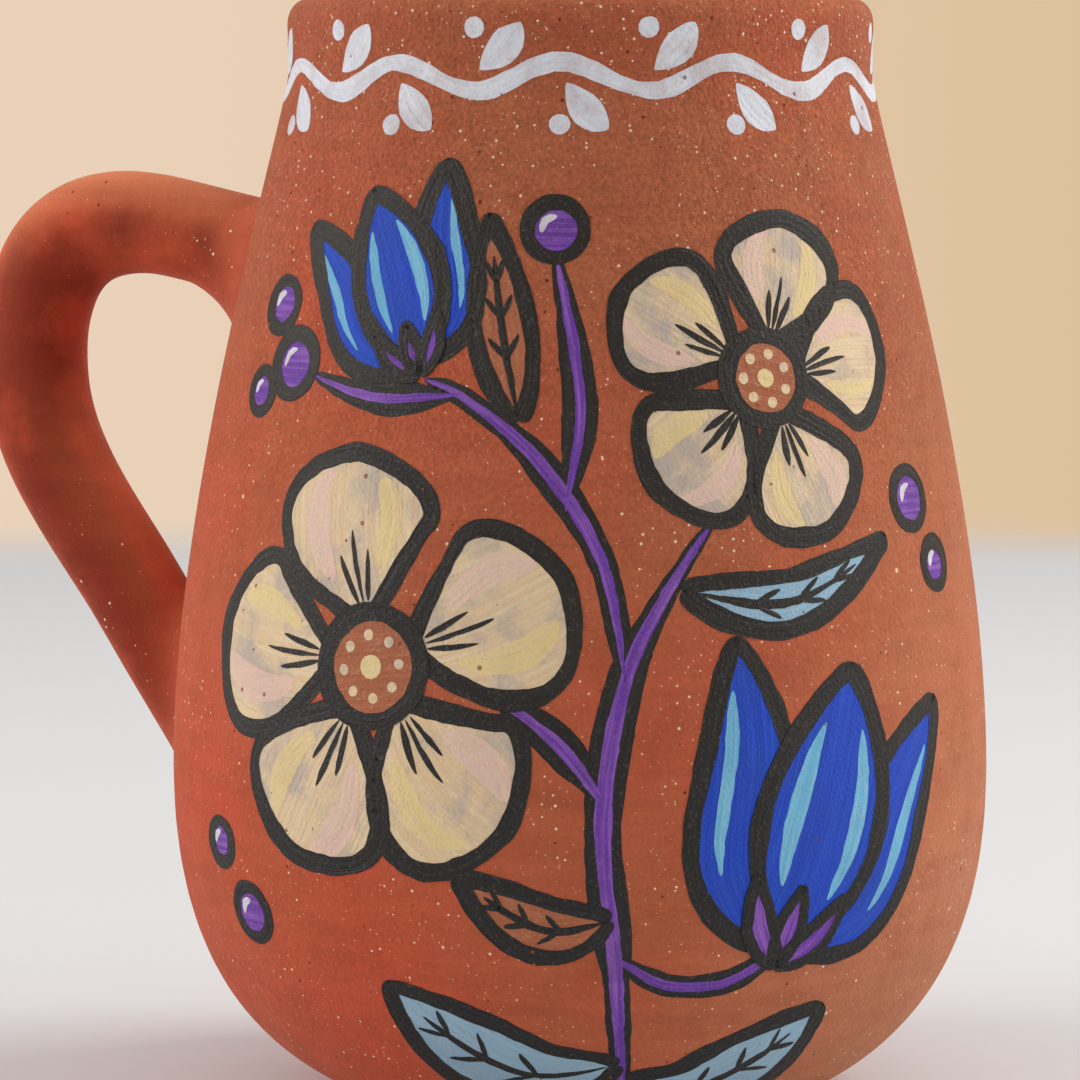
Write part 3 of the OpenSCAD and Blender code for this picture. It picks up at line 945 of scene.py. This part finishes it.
def paintBud(place, radius):
    paintDisc("violetBuds", place, Vector((0, 0)), radius, 1, 1.5 * mm)
    knots = Vector((-0.5, -0.1)), Vector((-0.35, 0.35)), Vector((0.05, 0.5))
    shine = curveThrough([knot * radius for knot in knots])
    drawLine(place, shine, 0.8 * mm, 2.2, paint="whiteDabs")


def paintStem(place, spots, core):
    # a violet line between two black ones
    knots = [flatSpot(place, angle, height * mm) for angle, height in spots]
    line = curveThrough(knots)
    drawLine(place, line, core + 2.2 * mm, 0.5)
    drawLine(place, line, core, 0.8, paint="violetBuds")


# The design: a wandering vine with open flowers, tulips, leaves and buds.
# Places are degrees to the right of the mug's front and mm above the table.
vine = {"angle": 0, "height": 40 * mm}
stems = (
    ([(8, 5), (5, 20), (3, 36), (6, 50), (12, 59), (19, 66)], 1.7),
    ([(5, 22), (12, 19), (21, 19), (28, 22)], 1.3),
    ([(3, 38), (-3, 44), (-12, 49)], 1.3),
    ([(6, 50), (3, 62), (-6, 72), (-17, 78), (-24, 80)], 1.3),
    ([(-18, 78.5), (-32, 78), (-45, 80)], 0.9),
    ([(-2, 67), (0, 78), (-4, 93)], 1),
)
flowers = (
    {"angle": -29, "height": 51, "turn": 8, "petals": 5, "length": 22, "halfWidth": 9.2, "middle": 5.6,
     "dots": 8},
    {"angle": 29, "height": 80, "turn": -14, "petals": 5, "length": 17, "halfWidth": 7, "middle": 4.4,
     "dots": 7},
)
tulips = (
    {"angle": 29, "height": 23, "turn": -16, "size": 28},
    {"angle": -26, "height": 82, "turn": 22, "size": 18},
)
leaves = (
    ([(6, 10), (-10, 9), (-28, 18)], 5, "paleBlueLeaves"),
    ([(8, 8), (22, 7), (38, 15)], 4.6, "paleBlueLeaves"),
    ([(14, 59), (30, 57.5), (48, 63)], 2.7, "paleBlueLeaves"),
    ([(4, 26), (-5, 25), (-16, 30)], 3, "brownCentres"),
    ([(-9, 76), (-12, 85), (-15, 96)], 2.9, "brownCentres"),
)
buds = ((-50, 81, 3.2), (-56, 87, 2.6), (-58, 78, 2.2), (-4, 95, 2.9), (56, 67, 3), (61, 60, 2.4),
        (-52, 24, 2.8), (-58, 31, 2.2))
for stemSpots, stemCore in stems:
    paintStem(vine, stemSpots, stemCore * mm)
for flower in flowers:
    paintOpenFlower(dict(flower, height=flower["height"] * mm), flower)
for tulip in tulips:
    paintTulip(dict(tulip, height=tulip["height"] * mm), tulip)
for leafSpots, leafHalf, leafPaint in leaves:
    leafKnots = [flatSpot(vine, angle, height * mm) for angle, height in leafSpots]
    paintLeaf(vine, leafKnots, leafHalf * mm, leafPaint)
for budAngle, budHeight, budRadius in buds:
    paintBud({"angle": budAngle, "height": budHeight * mm}, budRadius * mm)

# White garland round the neck: a waved line with a leaf dab and a dot at each turn
garland = {
    "height": 110.5 * mm,
    "start": -110,                # over the handle, where the ends of the line meet
    "turns": 22,
    "turnSteps": 12,              # points of the line for each turn
    "overlap": 3,                 # steps that the line runs on past its start
    "wave": 1.5 * mm,
    "line": 1.8 * mm,
    "dabLength": 7.4 * mm,
    "dabHalf": 1.7 * mm,
    "dabLean": 42,
    "dot": 1.1 * mm,
}


def paintGarland():
    place = {"angle": garland["start"] + 180, "height": garland["height"]}
    girth = 2 * math.pi * wallAt(garland["height"], 2)[1]
    count = garland["turns"] * garland["turnSteps"]
    line = []
    for i in range(count + garland["overlap"] + 1):
        rise = garland["wave"] * math.sin(math.pi * garland["turns"] * i / count)
        line.append(Vector((girth * (i / count - 0.5), rise)))
    drawLine(place, line, garland["line"], 1, "round", "whiteDabs")
    for i in range(garland["turns"]):
        side = 1 if i % 2 else -1
        spot = {"angle": garland["start"] + 360 * (i + 0.5) / garland["turns"], "height": garland["height"],
                "turn": -garland["dabLean"] * side}
        length = garland["dabLength"] * side
        dab = [Vector((0, length * 0.12)), Vector((length * 0.05, length * 0.6)), Vector((0, length))]
        brushStroke("whiteDabs", spot, curveThrough(dab), petalWidth(garland["dabHalf"], 1.15, 0.7), 1.2)
        dot = Vector((garland["dabLength"] * -0.45, length * 0.5))
        paintDisc("whiteDabs", spot, dot, garland["dot"], 1.2)


paintGarland()
for paintName, paintLook in paintLooks.items():
    strokes = addObject(paintName, paints[paintName], brushedAcrylic(paintName, paintLook))
    finishPiece(strokes)
    print(paintName, "brushed on:", len(strokes.data.polygons), "faces")
